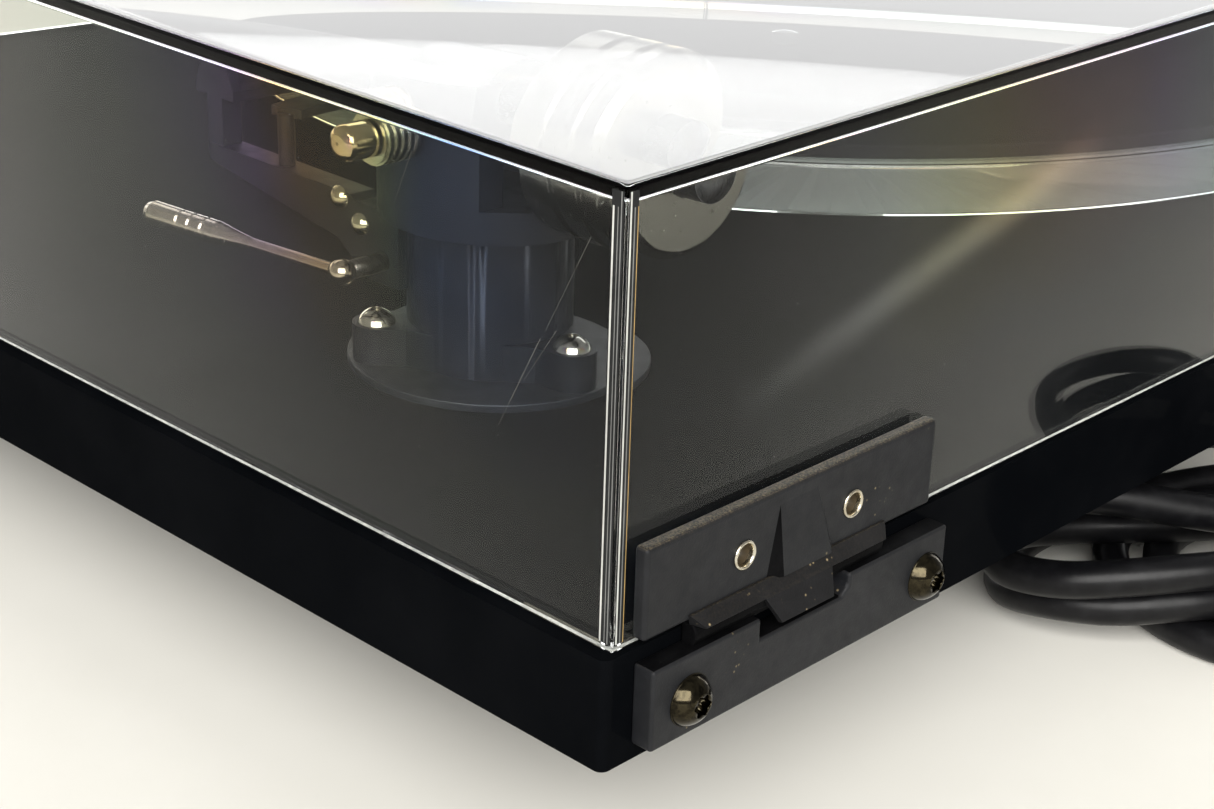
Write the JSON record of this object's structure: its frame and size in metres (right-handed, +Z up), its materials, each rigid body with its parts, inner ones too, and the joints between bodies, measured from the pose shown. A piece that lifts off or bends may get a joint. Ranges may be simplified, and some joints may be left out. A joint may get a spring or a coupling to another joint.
{
  "type": "turntable record player",
  "caption": "Belt-drive record player: gloss board on rubber feet, glass platter with felt mat, straight tonearm with lift, hinged clear cover and a captive signal lead.",
  "frame": {"origin": "on the table, under the middle of the deck (bottom centre of the deck with its hinges, without the lead)", "axes": "+X right, +Y back to the hinges, +Z up"},
  "size_m": [0.447, 0.4215, 0.1173],
  "materials": {
    "lacquered_board": "high-gloss black lacquer on fibreboard",
    "foot_rubber": "matte",
    "steel_screw": "machined",
    "bright_screw": "polished",
    "hinge_plastic": "fine moulded grain",
    "hinge_pin_steel": "drawn",
    "dark_screw": "dark nickel, polished",
    "eyelet_nickel": "nickelled, dull",
    "bearing_brass": "turned",
    "hard_steel": "ground",
    "sub_platter_plastic": "satin",
    "platter_glass": "clear float glass, ground edge",
    "mat_felt": "felt",
    "belt_rubber": "ground",
    "motor_can": "satin",
    "sheet_steel": "zinc plated",
    "turned_aluminium": "turned",
    "case_plastic": "moulded",
    "board_green": "solder mask",
    "socket_plastic": "moulded",
    "rocker_plastic": "satin",
    "arm_black": "satin black coat on aluminium",
    "spacer_black": "satin",
    "shaft_dark": "blackened",
    "lever_metal": "satin nickel",
    "polished_cap": "polished",
    "tube_black": "satin black",
    "cartridge_plastic": "moulded",
    "stylus_red": "moulded",
    "weight_steel": "polished, turned",
    "cover_acrylic": "clear cast acrylic, fine scratches",
    "gland_plastic": "moulded",
    "lead_jacket": "soft PVC, slight sheen",
    "plug_metal": "plated"
  },
  "bodies": {
    "plinth": {"plinth": "lacquered_board", "foot_front_left": "foot_rubber", "foot_front_right": "foot_rubber", "foot_rear": "foot_rubber", "foot_screws": "steel_screw", "hinge_lower_right": "hinge_plastic", "hinge_lower_left": "hinge_plastic", "hinge_pins": "hinge_pin_steel", "hinge_screws": "dark_screw", "bearing_housing": "bearing_brass", "bearing_nut": "steel_screw", "bearing_ball": "hard_steel", "drive_belt": "belt_rubber", "motor_body": "motor_can", "motor_plate": "sheet_steel", "motor_screws": "steel_screw", "belly_cover": "case_plastic", "circuit_board": "board_green", "power_socket": "socket_plastic", "switch_housing": "case_plastic", "arm_spacer": "spacer_black", "arm_base": "arm_black", "arm_base_screws": "bright_screw", "arm_nut": "steel_screw", "arm_bearings": "hard_steel", "lift_bracket": "arm_black", "bracket_screws": "bright_screw", "lead_gland": "gland_plastic", "signal_lead": "lead_jacket", "lead_splitter": "gland_plastic", "plug_tails": "lead_jacket", "plug_a": "plug_metal", "plug_b": "plug_metal"},
    "platter": {"spindle": "hard_steel", "sub_platter": "sub_platter_plastic", "glass_platter": "platter_glass", "platter_mat": "mat_felt"},
    "pulley": {"motor_shaft": "hard_steel", "motor_pulley": "turned_aluminium"},
    "switch": {"switch_rocker": "rocker_plastic"},
    "lift": {"lift_platform": "spacer_black"},
    "lever": {"lever_shaft": "shaft_dark", "lift_lever": "lever_metal"},
    "yoke": {"arm_yoke": "arm_black", "arm_spindle": "hard_steel", "pivot_axle": "hard_steel", "pivot_caps": "polished_cap"},
    "dial": {"bias_dial": "lever_metal"},
    "arm": {"arm_tube": "tube_black", "headshell": "arm_black", "finger_lift": "arm_black", "cartridge_body": "cartridge_plastic", "stylus_unit": "stylus_red", "cartridge_screws": "bright_screw", "rear_shaft": "shaft_dark"},
    "weight": {"counterweight": "weight_steel"},
    "cover": {"cover": "cover_acrylic", "hinge_upper_right": "hinge_plastic", "hinge_upper_left": "hinge_plastic", "cover_eyelets": "eyelet_nickel"}
  },
  "joints": [
    {"name": "cover_hinge", "type": "hinge", "parent": "plinth", "child": "cover", "pos_m": [0, 0.1756, 0.04875], "axis": [-1, 0, 0], "range_deg": [0, 70]},
    {"name": "platter_spin", "type": "hinge", "parent": "plinth", "child": "platter", "pos_m": [-0.046, -0.008, 0.06], "axis": [0, 0, 1], "continuous": true},
    {"name": "pulley_spin", "type": "hinge", "parent": "plinth", "child": "pulley", "pos_m": [-0.11317, 0.05917, 0.05], "axis": [0, 0, 1], "continuous": true},
    {"name": "arm_swing", "type": "hinge", "parent": "plinth", "child": "yoke", "pos_m": [0.157, 0.082, 0.08], "axis": [0, 0, -1], "range_deg": [0, 50]},
    {"name": "arm_tilt", "type": "hinge", "parent": "yoke", "child": "arm", "pos_m": [0.157, 0.082, 0.096], "axis": [-1, 0, 0], "range_deg": [0, 2.65]},
    {"name": "weight_slide", "type": "slide", "parent": "arm", "child": "weight", "axis": [0, 1, 0], "range_m": [0, 0.006]},
    {"name": "bias_dial_turn", "type": "hinge", "parent": "yoke", "child": "dial", "pos_m": [0.18, 0.082, 0.096], "axis": [1, 0, 0], "range_deg": [0, 270]},
    {"name": "lift_lever_turn", "type": "hinge", "parent": "plinth", "child": "lever", "pos_m": [0.1815, 0.0703, 0.068], "axis": [-1, 0, 0], "range_deg": [0, 45]},
    {"name": "lift_rise", "type": "slide", "parent": "plinth", "child": "lift", "axis": [0, 0, 1], "range_m": [0, 0.00195]},
    {"name": "switch_rock", "type": "hinge", "parent": "plinth", "child": "switch", "pos_m": [-0.108, -0.16, 0.026], "axis": [0, -1, 0], "range_deg": [0, 12]}
  ],
  "couplings": [
    {"joint": "pulley_spin", "follows": "platter_spin", "ratio": 7.5},
    {"joint": "arm_tilt", "follows": "lift_lever_turn", "ratio": 0.0578},
    {"joint": "lift_rise", "follows": "lift_lever_turn", "m_per_rad": 0.00242}
  ]
}
